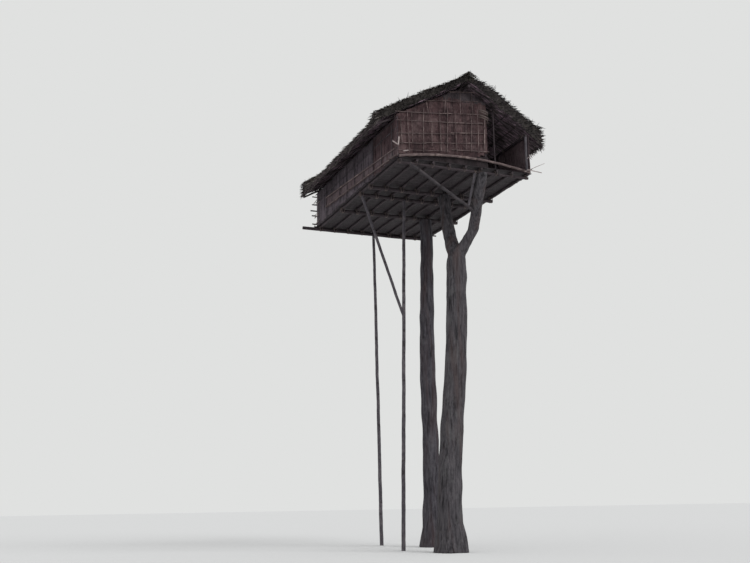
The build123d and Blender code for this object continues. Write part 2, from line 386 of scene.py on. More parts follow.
class Finish:
    """A material, with the nodes that colour it and give it relief."""

    def __init__(self, name, roughness, specular=0.3):
        self.material = bpy.data.materials.new(name)
        self.material.use_nodes = True
        self.shader = self.material.node_tree.nodes["Principled BSDF"].inputs
        self.shader["Roughness"].default_value = roughness
        self.shader["Specular IOR Level"].default_value = specular

    def add(self, kind, inputs, output=0, **settings):
        """Adds one shader node and returns its output."""
        return add(self.material.node_tree, "ShaderNode" + kind, inputs, output, **settings)

    def tint(self):
        """The tint of each copy."""
        return self.add("Attribute", {}, "Fac", attribute_name="tint")

    def place(self, follows, stretch):
        """The place on the piece, or along its grain and moved on from copy to copy, stretched."""
        if follows == "grain":
            spot = self.add("Attribute", {}, "Vector", attribute_name="grain")
            spot = self.add("VectorMath", {0: spot, 1: self.sums(self.tint(), 37.0, "MULTIPLY")})
        else:
            spot = self.add("TexCoord", {}, "Object")
        return self.add("Mapping", {"Vector": spot, "Scale": stretch})

    def clouds(self, follows, stretch, scale, detail, roughness=0.5, distortion=0.0):
        """Cloudy noise."""
        place = self.place(follows, stretch)
        return self.add("TexNoise", {"Vector": place, "Scale": scale, "Detail": detail,
                                     "Roughness": roughness, "Distortion": distortion})

    def shades(self, value, *stops):
        """Turns a value to a colour through (place, colour) stops."""
        colour = self.add("ValToRGB", {"Fac": value})
        elements = colour.node.color_ramp.elements
        while len(elements) < len(stops):
            elements.new(0.5)
        for element, (position, shade) in zip(elements, stops):
            element.position = position
            element.color = shade
        return colour

    def blend(self, share, low, high, kind="MIX"):
        """Mixes two colours."""
        return self.add("Mix", {"Factor": share, "A": low, "B": high}, data_type="RGBA", blend_type=kind)

    def sums(self, first, second, kind="ADD"):
        """Adds or multiplies two values."""
        return self.add("Math", {0: first, 1: second}, operation=kind)

    def darker(self, body, share, value, *stops):
        """Darkens a colour by the shades of a value."""
        return self.blend(share, body, self.shades(value, *stops), "MULTIPLY")

    def covered(self, body, share, cover, colour):
        """Lays a share of another colour over a colour where there is cover."""
        return self.blend(self.sums(cover, share, "MULTIPLY"), body, colour)

    def done(self, colour, height, depth):
        """Gives the shader its colour, and the surface its relief."""
        relief = self.add("Bump", {"Height": height, "Strength": 1.0, "Distance": depth})
        self.material.node_tree.links.new(colour, self.shader["Base Color"])
        self.material.node_tree.links.new(relief, self.shader["Normal"])


def living_bark(name, *colours):
    """Furrowed bark of a standing tree, with lichen and stains."""
    low, middle, high, lichened, stain = map(linear, colours)
    finish = Finish(name, 0.88)
    ridges = finish.clouds("object", (1, 1, 0.11), 15.0, 8.0, 0.64, 0.35)
    flakes = finish.clouds("object", (1, 1, 0.35), 38.0, 5.0)
    body = finish.shades(ridges, (0.3, low), (0.5, middle), (0.72, high))
    body = finish.darker(body, 0.75, ridges, (0.36, grey(0.3)), (0.47, white))
    body = finish.darker(body, 0.4, flakes, (0.35, grey(0.5)), (0.6, white))
    patches = finish.clouds("object", (1, 1, 0.55), 2.3, 5.0, 0.7)
    body = finish.covered(body, 0.4, finish.shades(patches, (0.54, black), (0.66, white)), lichened)
    streaks = finish.clouds("object", (2.5, 2.5, 0.22), 1.6, 3.0)
    body = finish.covered(body, 0.5, finish.shades(streaks, (0.5, black), (0.68, white)), stain)
    finish.done(body, finish.sums(ridges, finish.sums(flakes, 0.3, "MULTIPLY")), 0.03)


def pole_bark(name, patched, *colours):
    """Round pole with thin bark, part worn away, and darker rings where branches were."""
    low, middle, high, patch = map(linear, colours)
    finish = Finish(name, 0.8)
    fibres = finish.clouds("grain", (1, 1, 0.12), 60.0, 5.0, 0.6)
    body = finish.shades(fibres, (0.28, low), (0.5, middle), (0.75, high))
    worn = finish.clouds("grain", (1, 1, 0.5), 7.0, 5.0, 0.65)
    worn = finish.shades(worn, (0.55 - 0.1 * patched, black), (0.62, white))
    body = finish.covered(body, patched, worn, patch)
    rings = finish.clouds("grain", (0.25, 0.25, 1), 4.5, 1.0)
    body = finish.darker(body, 0.8, rings, (0.61, white), (0.66, (0.45, 0.42, 0.4, 1)))
    body = finish.darker(body, 0.5, finish.tint(), (0, (0.62, 0.6, 0.6, 1)), (1, white))
    finish.done(body, finish.sums(fibres, finish.sums(worn, -0.5, "MULTIPLY")), 0.006)


def bark_sheet(name, uneven, *colours):
    """Flattened bark: fibrous, cracked along the grain, damp in places and weathered in others."""
    low, middle, high, weathered = map(linear, colours)
    finish = Finish(name, 0.86)
    fibres = finish.clouds("grain", (1, 1, 0.14), 42.0, 8.0, 0.68)
    body = finish.shades(fibres, (0.25, low), (0.5, middle), (0.74, high))
    cracks = finish.add("TexVoronoi", {"Vector": finish.place("grain", (1, 1, 0.14)), "Scale": 26.0},
                        feature="DISTANCE_TO_EDGE")
    crack = finish.shades(cracks, (0.0, grey(0.1)), (0.09, white))
    body = finish.blend(0.6, body, crack, "MULTIPLY")
    spots = finish.clouds("grain", (1, 1, 1.6), 11.0, 6.0, 0.7)
    body = finish.covered(body, 0.45, finish.shades(spots, (0.5, black), (0.68, white)), weathered)
    body = finish.darker(body, 0.8, spots, (0.3, (0.4, 0.36, 0.36, 1)), (0.4, white))
    body = finish.darker(body, uneven, finish.tint(), (0, (0.5, 0.48, 0.5, 1)),
                         (0.5, (0.85, 0.8, 0.8, 1)), (1, white))
    broad = finish.clouds("object", (1, 1, 1), 1.9, 5.0, 0.6)
    body = finish.covered(body, 0.4, finish.shades(broad, (0.47, black), (0.62, white)), weathered)
    body = finish.darker(body, 0.9, broad, (0.36, (0.62, 0.6, 0.62, 1)), (0.46, white))
    finish.done(body, finish.sums(fibres, finish.sums(crack, 0.6, "MULTIPLY")), 0.012)


def dry_leaf(name, *colours):
    """Dry palm leaf: fine veins along it, some leaves paler than others."""
    low, middle, high, straw = map(linear, colours)
    finish = Finish(name, 0.82)
    veins = finish.clouds("grain", (1, 0.06, 1), 240.0, 3.0)
    body = finish.shades(finish.tint(), (0.0, low), (0.45, middle), (0.85, high), (0.97, straw))
    body = finish.darker(body, 0.45, veins, (0.3, grey(0.5)), (0.6, white))
    rot = finish.clouds("object", (1, 1, 1), 2.6, 6.0, 0.7)
    body = finish.darker(body, 0.8, rot, (0.4, (0.45, 0.46, 0.44, 1)), (0.6, white))
    finish.done(body, veins, 0.003)


def plain_fibres(name, roughness, clouds, depth, *stops, uneven=0.0):
    """Fibres or rings in a few shades, darker in some copies than in others."""
    finish = Finish(name, roughness)
    fibres = finish.clouds(*clouds)
    body = finish.shades(fibres, *[(position, linear(colour)) for position, colour in stops])
    body = finish.darker(body, uneven, finish.tint(), (0, (0.45, 0.43, 0.42, 1)), (1, white))
    finish.done(body, fibres, depth)


living_bark("tree_bark", (40, 38, 42), (68, 65, 69), (92, 88, 91), (97, 96, 97), (70, 55, 53))
# A darker copy of the tree bark for the rear tree, painted shade: it stands further back, in shadow.
living_bark("dark_tree_bark", (37, 35, 40), (63, 60, 66), (88, 85, 90), (96, 94, 98), (66, 50, 50))
pole_bark("grey_pole", 0.5, (54, 51, 56), (80, 76, 82), (106, 101, 106), (122, 116, 119))
pole_bark("shaded_pole", 0.5, (42, 39, 43), (63, 59, 63), (84, 79, 82), (98, 92, 94))
# The darkest copy of the pole bark, painted shade: darkened for the poles under the floor, which lie in
# shade; other poles and laths use it too.
pole_bark("shade_dark_pole", 0.35, (38, 32, 35), (54, 46, 50), (70, 61, 65), (82, 72, 75))
pole_bark("pale_lath", 0.5, (56, 46, 47), (90, 77, 77), (126, 110, 108), (160, 142, 138))
pole_bark("peeled_pole", 0.6, (104, 92, 92), (150, 138, 136), (184, 172, 170), (194, 182, 180))
bark_sheet("bark_wall", 0.75, (38, 26, 28), (68, 48, 50), (96, 73, 75), (110, 92, 92))
bark_sheet("shade_bark", 0.4, (60, 53, 59), (86, 77, 85), (107, 98, 105), (112, 103, 109))
# A greyer, violet copy of the bark for the front gable, painted shade: the gable stands in the roof's
# shade.
bark_sheet("shaded_gable_bark", 0.5, (42, 36, 39), (65, 57, 61), (86, 77, 81), (92, 84, 87))
# A lighter copy of the bark, painted light: it lightens the shaded inside of the right wall, and the band
# along the left wall's foot where the wall is lit below the eave's shadow.
bark_sheet("fresh_bark", 0.5, (66, 53, 57), (95, 79, 84), (118, 102, 107), (114, 102, 104))
bark_sheet("red_bark", 0.5, (46, 32, 35), (76, 56, 60), (98, 77, 81), (100, 84, 86))
# A very dark copy of the bark, painted shade: the sheet behind the front rail stands for the shade in the
# gap under the front wall's raised foot.
bark_sheet("foot_bark", 0.75, (24, 18, 20), (39, 30, 33), (54, 44, 47), (58, 50, 53))
dry_leaf("roof_leaf", (50, 46, 45), (78, 73, 69), (101, 94, 88), (128, 118, 104))
# A lighter copy of the leaf for the eave fringe, painted light where the fringe hangs in the eave's shade.
dry_leaf("eave_leaf", (68, 63, 64), (100, 93, 94), (124, 116, 115), (140, 131, 126))
dry_leaf("verge_leaf", (47, 43, 46), (72, 67, 70), (94, 87, 90), (116, 108, 106))
# A much lighter, violet copy of the leaf for the lining seen from below, painted light in the roof's shade.
dry_leaf("lining_leaf", (112, 94, 106), (140, 118, 132), (162, 138, 152), (174, 150, 162))
plain_fibres("cut_end", 0.85, ("grain", (1, 1, 1), 90.0, 3.0), 0.004,
             (0.3, (96, 80, 62)), (0.7, (150, 130, 104)))
# The slats are seen from below: their colours are darkened, painted shade of the floor's underside, over
# the real palm fibres.
plain_fibres("split_palm", 0.7, ("grain", (1, 0.05, 1), 150.0, 4.0), 0.004,
             (0.3, (34, 28, 31)), (0.5, (50, 43, 47)), (0.7, (66, 58, 62)), uneven=0.6)
plain_fibres("cane", 0.6, ("object", (1, 1, 1), 120.0, 3.0), 0.002,
             (0.3, (72, 62, 60)), (0.7, (112, 100, 96)))


# Poles

sway = bpy.data.textures.new("sway", "CLOUDS")
sway.noise_scale = 1.2
sway.cloud_type = "COLOR"
lumps = bpy.data.textures.new("lumps", "CLOUDS")
lumps.noise_scale = 0.11


def pole(foot, head, radius, head_radius, sides, ring_gap=0.12):
    """A pole with a ring every so often, so that it can bend, and its own grain and tint."""
    axis = head - foot
    length = axis.length
    piece = primitive(bpy.ops.mesh.primitive_cylinder_add, vertices=sides, radius=radius, depth=length)
    mesh = piece.data
    mesh.transform(Matrix.Translation((0, 0, length / 2)))
    ends = numbers(mesh.edges, "vertices", 2, np.int32)
    climb = np.abs(np.diff(coordinates(mesh)[ends, 2], axis=1)).ravel()
    for part in (mesh.vertices, mesh.polygons):
        part.foreach_set("select", np.zeros(len(part), bool))
    mesh.edges.foreach_set("select", climb > length / 2)
    bpy.ops.object.mode_set(mode="EDIT")
    bpy.ops.mesh.subdivide(number_cuts=max(2, round(length / ring_gap)))
    bpy.ops.object.mode_set(mode="OBJECT")
    places = coordinates(mesh)
    taper = 1 + (head_radius / radius - 1) * places[:, 2] / length
    places[:, :2] *= taper[:, None]
    mesh.vertices.foreach_set("co", places.ravel())
    corners = numbers(mesh.polygons, "loop_total", 1, np.int32).ravel()
    mesh.polygons.foreach_set("material_index", (corners > 4).astype(np.int32))
    mark(piece, draws.random(), vary(0, 9))
    mesh.transform(Matrix.Translation(foot) @ axis.to_track_quat("Z", "Y").to_matrix().to_4x4())
    return piece


def poles(name, runs, bow=0, sway_size=0.035, lump_size=0.012, **shape):
    """Poles along (foot, head, foot radius, head radius) runs, a little crooked and lumpy."""
    piece = joined(name, [pole(*run, **shape) for run in runs])
    if bow:
        half = runs[0][1].x
        for vertex in piece.data.vertices:
            vertex.co.z += bow * (1 - (vertex.co.x / half) ** 2)
    worked(piece, "DISPLACE", texture=sway, texture_coords="GLOBAL", direction="RGB_TO_XYZ",
           strength=sway_size)
    worked(piece, "DISPLACE", texture=lumps, texture_coords="GLOBAL", strength=lump_size)
    places = coordinates(piece.data)
    places[:, 2] = np.maximum(places[:, 2], 0)
    piece.data.vertices.foreach_set("co", places.ravel())
    return piece


def axes_of(node):
    """(foot, head, foot radius, head radius) of each round pole in a CAD node, read from its mesh."""
    with editing(cad_copy("axes_" + node, node)):
        bpy.ops.mesh.remove_doubles(threshold=0.0001)
        bpy.ops.mesh.separate(type="LOOSE")
    found = []
    for part in list(bpy.context.selected_objects):
        places = coordinates(part.data).astype(float)
        centre = (places.min(0) + places.max(0)) / 2
        middle = places.mean(0)
        axis = np.linalg.svd(places - middle, full_matrices=False)[2][0]
        axis *= np.sign(axis[np.argmax(np.abs(axis))])
        along = (places - middle) @ axis
        off = np.linalg.norm(places - middle - np.outer(along, axis), axis=1)
        low, high = along.min(), along.max()
        radii = [float(np.median(off[near])) for near in (along < low + 0.1, along > high - 0.1)]
        run = (Vector(middle + axis * low), Vector(middle + axis * high), *radii)
        found.append(([round(v, 3) for v in centre], run))
        bpy.data.objects.remove(part)
    return [run for centre, run in sorted(found, key=lambda entry: entry[0])]


pole_finish = dict.fromkeys(("front_strut", "side_brace", "middle_post", "back_post", "front_right_post"),
                            "grey_pole")
pole_finish.update(front_rail="pale_lath", corner_brace="shaded_pole")
pole_nodes = sorted(row["node"] for row in frame["record"]["subparts"] if row["material_slot"] == "poles")
axes = {node: axes_of(node) for node in pole_nodes}
rail_radius = axes["front_bearer"][0][2]
rail_y = -half_length - rail_radius
rail_end = half_width - 0.04
axes["front_rail"] = [(Vector((-rail_end, rail_y, floor_level)), Vector((rail_end, rail_y, floor_level)),
                       rail_radius, rail_radius * 0.8)]


def all_poles():
    """Every pole of the frame, each in place of its node."""
    for node in pole_nodes:
        fine = max(axis[2] for axis in axes[node]) < 0.03
        bow = rail_bow if node == "front_rail" else 0
        piece = poles(node + "_poles", axes[node], bow, lump_size=0.006 if fine else 0.012,
                      sides=8 if fine else 12)
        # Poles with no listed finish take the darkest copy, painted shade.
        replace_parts(give(piece, "poles", 40, pole_finish.get(node, "shade_dark_pole"), "cut_end"), node)


# Trees

def standing_tree(name, nodes, finish, fork=None):
    """A living tree in place of its nodes: one skin, with flutes at its foot, burls and bark ridges."""
    piece = joined(name, [cad_copy(name, node) for node in nodes])
    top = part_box(nodes[-1])[1].z
    with editing(piece):
        bpy.ops.mesh.remove_doubles(threshold=0.0005)
    worked(piece, "REMESH", mode="VOXEL", voxel_size=0.032)
    worked(piece, "SMOOTH", factor=0.5, iterations=6)
    mesh = piece.data
    if fork:
        near = piece.vertex_groups.new(name="fork")
        for vertex in mesh.vertices:
            near.add([vertex.index], max(0, 1 - abs(vertex.co.z - fork) / 0.7), "REPLACE")
        worked(piece, "SMOOTH", factor=0.5, iterations=40, vertex_group="fork")
        piece.vertex_groups.clear()
    foot = Vector((vary(-9, 9), vary(-9, 9), 0))
    moved = []
    for place, normal in zip(map(Vector, coordinates(mesh)), map(Vector, numbers(mesh.vertices, "normal"))):
        seed = place + foot
        free = min(1, place.z / 1.5) * min(1, max(0, (top - place.z) / 0.8))
        lean = Vector((bumps(foot.x, 0, place.z * 0.22), bumps(0, foot.y, place.z * 0.22), 0))
        burl = 0.035 * bumps(*seed * 1.7)
        ridge = 0.012 * (0.5 - abs(bumps(seed.x * 7, seed.y * 7, seed.z * 0.8)) * 2)
        flute = bumps(seed.x * 2.4, seed.y * 2.4, seed.z * 0.25)
        flute *= 0.03 + 0.16 * max(0, 1 - place.z / 1.3)
        normal.z *= min(1, place.z / 0.3)
        place += lean * 0.09 * free + normal * (burl + ridge + flute)
        moved += (place.x, place.y, max(0, place.z))
    mesh.vertices.foreach_set("co", moved)
    mesh.update()
    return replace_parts(give(piece, "trunks", 60, finish), *nodes)


# Thatch

def leaf(stations, fold, droop, sweep):
    """A leaf blade: folded along its midrib, with its tip drooping and swept to one side."""
    piece = drawn_out(4, stations)
    for vertex in piece.data.vertices:
        x, y, z = vertex.co
        vertex.co.z = z + fold * (1 - 2 * abs(x)) - droop * y * y
        vertex.co.x = x + sweep * y * y
    return piece


class Leaves:
    """Places of the leaves on the slopes, drawn from one seed."""

    def __init__(self, seed):
        self.draws = random.Random(seed)
        self.vary = self.draws.uniform
        self.stray = self.draws.gauss
        self.places = []

    def lay(self, side, start, stop, lift, widths=leaf_widths):
        """Lays a leaf from start to stop, turned up to so many degrees from flat on its slope."""
        along = stop - start
        out = Vector((side * sin(roof_pitch), 0, cos(roof_pitch)))
        across = along.cross(out).normalized()
        normal = across.cross(along).normalized()
        turn = Matrix((across, along.normalized(), normal)).transposed()
        turn = turn @ Matrix.Rotation(radians(self.vary(-lift, lift)), 3, "Y")
        width = self.vary(*widths)
        self.places.append((start, turn, (width, along.length, leaf_thickness)))

    def rows(self, side, rows, out_low, out_high, reach, raised=1):
        """Rows of leaves from the eave up, each over the last."""
        for tip_down, length in rows:
            end = slope_end(max(0, tip_down)) - 0.03
            for y in spread(-end, end, round(2 * end / leaf_gap)):
                long = length * self.vary(0.82, 1.12)
                tip = tip_down + self.vary(-0.05, reach)
                base = max(-0.03, tip - long)
                y += self.vary(-0.02, 0.02)
                low = out_low + raised * rise(side, base, y) + self.vary(-0.006, 0.006)
                high = out_high + raised * rise(side, tip, y) + self.vary(-0.012, 0.012)
                start = slope_point(side, base, y, low)
                self.lay(side, start, slope_point(side, tip, y + self.stray(0, 0.03), high), 25)
        return self.taken()

    def taken(self):
        """The places laid since the last time."""
        places = self.places
        self.places = []
        return places


def edge_level(side, share, down, y):
    """The level of a layer in the thatch's edge, from its underside to its top."""
    return thatch_out + 0.02 + share * (thatch_thickness - 0.03 + rise(side, down, y))


def eave_leaves(leaves, side):
    """The fringe that hangs from the eave, and the leaf ends over it."""
    for y in spread(-eave_half_length, eave_half_length, 170):
        hang = leaves.vary(0.03, 0.26) * (0.6 + 0.8 * bumps(y * 2.1, side * 3, 0))
        start = slope_point(side, eave_down - 0.16, y, thatch_out + leaves.vary(0.02, 0.12))
        stop = slope_point(side, eave_down + 0.03, y + leaves.stray(0, 0.06), thatch_out)
        leaves.lay(side, start, stop - Vector((0, 0, hang)), 70)
    for share in spread(0, 1, 5):
        for y in spread(-eave_half_length, eave_half_length, 130):
            y += leaves.vary(-0.03, 0.03)
            level = edge_level(side, share, eave_down, y)
            start = slope_point(side, eave_down - 0.3, y, level)
            reach = leaves.vary(-0.03, 0.07)
            stop = slope_point(side, eave_down + reach, y + leaves.stray(0, 0.05), level - 0.05 * reach)
            leaves.lay(side, start, stop, 60)
    return leaves.taken()


def verge_leaves(leaves, side):
    """The leaf ends of both verges, and a few that stand up from them."""
    for share in spread(0, 1, 8):
        for end in (-1, 1):
            for down in spread(0.05, eave_down, 70):
                y = slope_end(down)
                level = edge_level(side, share, down, end * y)
                start = slope_point(side, down - 0.05, end * (y - 0.32), level)
                reach = leaves.vary(-0.03, 0.08)
                tip = min(down + leaves.vary(0, 0.3), eave_down + 0.04)
                leaves.lay(side, start, slope_point(side, tip, end * (y + reach), level), 60)
    for end in (-1, 1):
        for _ in range(verge_strays[side, end]):
            down = leaves.vary(0.3, eave_down - 0.2)
            y = end * (slope_end(down) - 0.1)
            start = slope_point(side, down, y, thatch_top_out + rise(side, down, y) - 0.04)
            way = Vector((side * leaves.vary(-0.05, 0.14), end * leaves.vary(0, 0.14),
                          leaves.vary(0.08, 0.22)))
            leaves.lay(side, start, start + way, 60, stray_widths)
    return leaves.taken()


def thatch_core(side):
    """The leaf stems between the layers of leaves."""
    edge_gap = 0.06
    top_down = 0.03
    piece = primitive(bpy.ops.mesh.primitive_cube_add, size=1)
    with editing(piece):
        bpy.ops.mesh.subdivide(number_cuts=30)
    for vertex in piece.data.vertices:
        x, y, z = vertex.co
        down = top_down + (x + 0.5) * (eave_down - edge_gap - top_down)
        y *= 2 * (slope_end(down) - edge_gap)
        low = thatch_out + 0.03
        high = thatch_top_out - 0.045 + rise(side, down, y)
        vertex.co = slope_point(side, down, y, low + (z + 0.5) * (high - low))
    with editing(piece):
        bpy.ops.mesh.normals_make_consistent(inside=False)
    worked(piece, "DISPLACE", texture=lumps, texture_coords="GLOBAL", strength=0.03)
    return mark(piece, 0.2)


def slope_leaves(side, name, leaf_group):
    """One slope of thatch: courses of leaves, a lining seen from below, and ragged edges."""
    leaves = Leaves(3 + side)
    courses = leaves.rows(side, course_rows, thatch_top_out - 0.045, thatch_top_out + 0.004, 0.07)
    lining = leaves.rows(side, lining_rows, thatch_out + 0.035, thatch_out + 0.012, 0.05, 0)
    for part, finish, places in (("courses", "roof_leaf", courses), ("lining", "lining_leaf", lining),
                                 ("eave", "eave_leaf", eave_leaves(leaves, side)),
                                 ("edges", "verge_leaf", verge_leaves(leaves, side))):
        piece = copies(f"{name}_{part}", leaf_group, places)
        give(piece, "thatch", 50, finish)
    core = thatch_core(side)
    core.name = core.data.name = f"{name}_core"
    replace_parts(give(core, "thatch", 40, "roof_leaf"), name)


def ridge_leaves(leaf_group):
    """The ridge cap: layers of leaves folded down over both slopes."""
    leaves = Leaves(8)
    for layer, level in enumerate((thatch_top_out + 0.006, thatch_top_out + 0.022, thatch_top_out + 0.04)):
        for side in (-1, 1):
            for y in spread(-roof_half_length + 0.02, roof_half_length - 0.02, 190):
                y += leaves.vary(-0.02, 0.02)
                start = slope_point(side, -0.05, y, level + 0.01 + rise(side, 0, y))
                down = cap_out_reach + leaves.vary(-0.05, 0.14) - 0.05 * layer
                high = level - 0.006 + rise(side, down, y)
                leaves.lay(side, start, slope_point(side, down, y + leaves.stray(0, 0.04), high), 30)
    for end in (-1, 1):
        for _ in range(60):
            side = leaves.draws.choice((-1, 1))
            level = thatch_top_out + rise(side, 0, end * roof_half_length) + leaves.vary(-0.17, 0.0)
            start = slope_point(side, leaves.vary(-0.1, 0.1), end * (roof_half_length - 0.3), level)
            stop = slope_point(side, leaves.vary(-0.12, 0.3), end * (roof_half_length
                               + leaves.vary(-0.05, 0.1)), level + leaves.vary(-0.03, 0.08))
            leaves.lay(side, start, stop, 60)
    piece = copies("ridge_leaves", leaf_group, leaves.taken())
    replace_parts(give(piece, "thatch", 50, "roof_leaf"), "ridge_cap")


# Floor

def floor_slats():
    """Split palm slats laid across the joists."""
    slats = sources("slat", [drawn_out(6, [(y, 1 - 0.12 * bumps(y * 5, seed, 0), 1)
                                           for y in spread(-0.5, 0.5, 9)]) for seed in (1, 2, 3)])
    places = []
    y = -half_length
    while y < half_length - 0.05:
        width = vary(0.07, 0.115)
        point = Vector((vary(-0.04, 0.04), min(y + width / 2, half_length - width / 2),
                        floor_level - 0.012 + vary(-0.002, 0.002)))
        turn = Matrix.Rotation(pi / 2 + vary(-0.002, 0.002), 3, "Z")
        places.append((point, turn, (width, 2 * half_width + vary(0.02, 0.1), slat_thickness)))
        y += width + slat_gap
    piece = copies("floor_slats", slats, places)
    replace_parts(give(piece, "floor_slats", 30, "split_palm"), "floor_deck")


# Walls

def bark_strip(seed):
    """A strip of flattened bark, one metre square before it is sized, with ragged edges."""
    piece = primitive(bpy.ops.mesh.primitive_grid_add, x_subdivisions=4, y_subdivisions=16, size=1)
    piece.data.transform(Matrix.Translation((0, 0, 0.5)) @ Matrix.Rotation(pi / 2, 4, "X"))
    worked(piece, "SOLIDIFY", thickness=0.5, offset=0)
    for vertex in piece.data.vertices:
        x, y, z = vertex.co
        vertex.co.x = x * (1 + 0.12 * bumps(x * 0.5, seed, z * 4))
        vertex.co.y += 0.9 * (x * x - 0.12) + 0.5 * bumps(x * 2, seed + 5, z * 3)
        if z < 0.01 or z > 0.99:
            vertex.co.z += 0.012 * bumps(x * 6, seed, z)
    return piece


def bark_sheets(name, span, foot, top, place, strips, seed, widths=(0.12, 0.24), end_lift=0):
    """Overlapping upright bark strips between foot and top levels, made along X and then put in place."""
    seed_draws = random.Random(seed)
    places = []
    start, stop = span
    x = start
    while x < stop - 0.03:
        width = min(seed_draws.uniform(*widths), stop - x)
        share = (x + width / 2 - start) / (stop - start)
        depth = 0.006 if len(places) % 2 else -0.004
        low = foot[0] + (foot[1] - foot[0]) * share + seed_draws.uniform(-0.03, 0.0)
        low += end_lift * share ** 12
        high = top[0] + (top[1] - top[0]) * share + seed_draws.uniform(-0.01, 0.0)
        flip = Matrix.Rotation(pi * seed_draws.randrange(2), 3, "Z")
        size = (width * 1.14, bark_thickness, high - low)
        places.append((Vector((x + width / 2, depth, low)), flip, size))
        x += width
    piece = copies(name, strips, places)
    piece.data.transform(place)
    return piece


def cut_to_roof(piece):
    """Cuts off what stands higher than the rafters."""
    for side in (-1, 1):
        with editing(piece):
            bpy.ops.mesh.bisect(plane_co=slope_point(side, 0, 0, rafter_top_out - 0.004),
                                plane_no=(side * sin(roof_pitch), 0, cos(roof_pitch)),
                                use_fill=True, clear_outer=True)


def wall_place(x, y, turn):
    """Where a wall stands: its middle line and the way it faces."""
    return Matrix.Translation((x, y, 0)) @ Matrix.Rotation(turn, 4, "Z")


# Where each wall stands, and from where to where it runs.
wall_sides = {"front": (wall_place(0, inset - half_length, 0), (-half_width, panel_edge)),
              "back": (wall_place(0, half_length - inset, pi), (-half_width, half_width)),
              "left": (wall_place(inset - half_width, 0, -pi / 2), (-half_length, half_length)),
              "right": (wall_place(half_width - inset, 0, pi / 2), (-half_length, half_length))}


def walls():
    """The bark walls and gables, and the other bark: along the left wall's foot, a lighter band painted
    light;
    by its front corner; and behind the front rail, a dark sheet painted shade.
    The first word of a name is its side."""
    strips = sources("bark_strip", [bark_strip(seed) for seed in (1, 4, 9)])
    lap = 0.06
    level = (floor_level,) * 2
    peak = ridge_level + 0.2
    for name, node, foot, head, finish, seed, end_lift in (
            ("front_bark", "front_wall", front_foot, front_bark_top, "bark_wall", 21, front_foot_lift),
            # The front gable's bark is the greyer copy, painted shade under the roof.
            ("front_gable_bark", "front_gable", (front_bark_top - lap,) * 2, peak, "shaded_gable_bark", 22, 0),
            ("back_bark", "back_wall", level, wall_top, "bark_wall", 23, 0),
            ("back_gable_bark", "back_gable", (wall_top - 0.05,) * 2, peak, "shade_bark", 24, 0),
            ("left_bark", "left_wall", level, wall_top, "shade_bark", 25, 0),
            # The right wall's bark is the lighter copy, painted light on its shaded inside.
            ("right_bark", "right_wall", level, wall_top, "fresh_bark", 26, 0)):
        place, span = wall_sides[name.split("_")[0]]
        piece = bark_sheets(name, span, foot, (head, head), place, strips, seed, end_lift=end_lift)
        if head > wall_top:
            cut_to_roof(piece)
        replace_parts(give(piece, "bark_walls", 35, finish), node)
    for name, start, foot, top, back, finish, seed, *widths in (
            # The band along the left wall's foot is lighter bark, painted light below the eave's shadow.
            ("left_foot_bark", foot_band_start, (floor_level + 0.4, floor_level),
             (floor_level + 0.78, floor_level + 0.36), -0.026, "fresh_bark", 27, (0.2, 0.42)),
            ("left_corner_bark", half_length - red_bark_length, level, (wall_top, wall_top), -0.022,
             "red_bark", 29),
            # A dark sheet behind the front rail, painted shade in the gap under the front wall's foot.
            ("front_foot_bark", -half_width, level, (front_foot[0] + lap, front_foot[1] + lap), 0.012,
             "foot_bark", 28)):
        place, span = wall_sides[name.split("_")[0]]
        place = place @ Matrix.Translation((0, back, 0))
        piece = bark_sheets(name, (start, span[1]), foot, top, place, strips, seed, *widths)
        give(piece, "bark_walls", 35, finish)


# Laths

def lath(side, start, stop, off, radius=0.014):
    """A lath from start to stop, as (along, level) on the outside of a wall, so far off it."""
    ends = [wall_sides[side][0] @ Vector((along, -inset - off, level)) for along, level in (start, stop)]
    return (*ends, radius, radius * vary(0.7, 0.95))


def under_roof(x):
    """The level under the battens at x."""
    return ridge_level + (rafter_top_out - abs(x) * sin(roof_pitch)) / cos(roof_pitch) - 0.03


def about(level):
    """A level above the floor, give or take a little."""
    return floor_level + level + vary(-0.04, 0.04)


def front_laths():
    """The lattice on the front wall and its gable: broken level laths, and uprights tied over them."""
    def climb(x):
        return front_lath_rise * (x + half_width) / (panel_edge + half_width)

    runs = []
    for level in front_lath_levels:
        x = -half_width - vary(0.02, 0.12)
        while x < panel_edge - 0.3:
            end = min(x + vary(0.9, 2.2), panel_edge + vary(0.0, 0.08))
            runs.append(lath("front", (x, about(level) + climb(x)), (end, about(level) + climb(end)),
                             lath_off, vary(0.01, 0.018)))
            x = end - vary(-0.08, 0.2)
    for x, level in ((-1.9, 1.98), (-1.1, 2.32)):
        runs.append(lath("front", (x, floor_level + level + climb(x)),
                         (panel_edge - 0.3, floor_level + level + climb(panel_edge)), lath_off))
    for x, tall in ((-2.38, 0.6), (-2.13, 1), (-1.97, 0.7), (-1.53, 1), (-1.24, 0.55), (-0.94, 0.9),
                    (-0.64, 1), (-0.36, 1), (0.04, 0.6), (0.26, 0.8), (0.5, 1)):
        low = floor_level + 0.12 + climb(x) + (1 - tall) * vary(0, 1.2)
        head = min(under_roof(x), low + 1.6 * tall)
        runs.append(lath("front", (x + vary(-0.06, 0.06), low), (x, head), upright_off,
                         vary(0.009, 0.016)))
    runs.append(lath("front", (0.7, floor_level + 0.6), (0.76, floor_level + 1.75), 0.065, 0.022))
    for x in (-1.35, -0.75, -0.15, 0.32):
        runs.append(lath("front", (x, floor_level + 1.5 + climb(x)),
                         (x + vary(-0.08, 0.08), under_roof(x)), upright_off, 0.01))
    return runs


